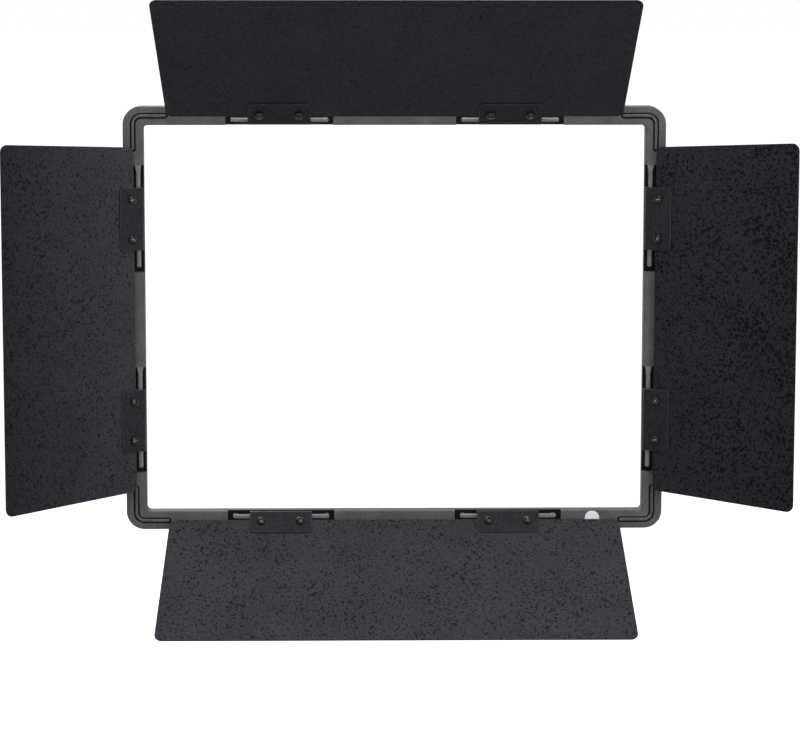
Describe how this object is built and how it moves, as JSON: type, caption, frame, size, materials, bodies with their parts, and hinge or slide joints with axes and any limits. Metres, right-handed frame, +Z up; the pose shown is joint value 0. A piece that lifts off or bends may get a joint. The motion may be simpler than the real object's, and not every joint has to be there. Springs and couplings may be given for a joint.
{
  "type": "barn door attachment",
  "caption": "Moulded front frame for a flat lighting panel with trapezoid leaves on clamped friction hinges that swing out from flat to closed to shape the beam.",
  "frame": {"origin": "centre of the corner screw pattern, on the mounting face at the back of the front frame", "axes": "+Z up; +Y out of the back, towards the lamp; the leaves stand towards -Y; +X to the right as seen from the front"},
  "size_m": [0.5335, 0.0973, 0.4288],
  "materials": {
    "frame_plastic": "fine-grained moulded warm grey",
    "leaf_powder_coat": "charcoal powder coat with black specks",
    "clip_black": "satin black",
    "bush_nylon": "natural nylon",
    "black_screw": "black zinc",
    "black_nut": "black zinc",
    "zinc_screw": "bright zinc",
    "insert_brass": "turned brass",
    "label_paper": "blank white paper"
  },
  "bodies": {
    "frame": {"front_frame": "frame_plastic", "mount_inserts": "insert_brass", "inspection_label": "label_paper", "hinge_bar_screws": "zinc_screw", "bottom_hinge_bar_left": "frame_plastic", "bottom_hinge_bar_right": "frame_plastic", "left_hinge_bar_lower": "frame_plastic", "left_hinge_bar_upper": "frame_plastic", "right_hinge_bar_lower": "frame_plastic", "right_hinge_bar_upper": "frame_plastic", "top_hinge_bar_left": "frame_plastic", "top_hinge_bar_right": "frame_plastic"},
    "top_leaf": {"top_bush_left": "bush_nylon", "top_bush_right": "bush_nylon", "top_clamp_nuts": "black_nut", "top_clamp_screws": "black_screw", "top_clip_left": "clip_black", "top_clip_right": "clip_black", "top_leaf": "leaf_powder_coat"},
    "bottom_leaf": {"bottom_bush_left": "bush_nylon", "bottom_bush_right": "bush_nylon", "bottom_clamp_nuts": "black_nut", "bottom_clamp_screws": "black_screw", "bottom_clip_left": "clip_black", "bottom_clip_right": "clip_black", "bottom_leaf": "leaf_powder_coat"},
    "left_leaf": {"left_bush_lower": "bush_nylon", "left_bush_upper": "bush_nylon", "left_clamp_nuts": "black_nut", "left_clamp_screws": "black_screw", "left_clip_lower": "clip_black", "left_clip_upper": "clip_black", "left_leaf": "leaf_powder_coat"},
    "right_leaf": {"right_bush_lower": "bush_nylon", "right_bush_upper": "bush_nylon", "right_clamp_nuts": "black_nut", "right_clamp_screws": "black_screw", "right_clip_lower": "clip_black", "right_clip_upper": "clip_black", "right_leaf": "leaf_powder_coat"}
  },
  "joints": [
    {"name": "top_leaf_hinge", "type": "hinge", "parent": "frame", "child": "top_leaf", "pos_m": [0, -0.0108, 0.1378], "axis": [1, 0, 0], "range_deg": [-39.7, 140.3]},
    {"name": "bottom_leaf_hinge", "type": "hinge", "parent": "frame", "child": "bottom_leaf", "pos_m": [0, -0.0108, -0.1378], "axis": [-1, 0, 0], "range_deg": [-50.3, 129.7]},
    {"name": "left_leaf_hinge", "type": "hinge", "parent": "frame", "child": "left_leaf", "pos_m": [-0.17565, -0.0108, 0], "axis": [0, 0, 1], "range_deg": [-36.6, 131.4]},
    {"name": "right_leaf_hinge", "type": "hinge", "parent": "frame", "child": "right_leaf", "pos_m": [0.17565, -0.0108, 0], "axis": [0, 0, -1], "range_deg": [-30.2, 137.8]}
  ]
}
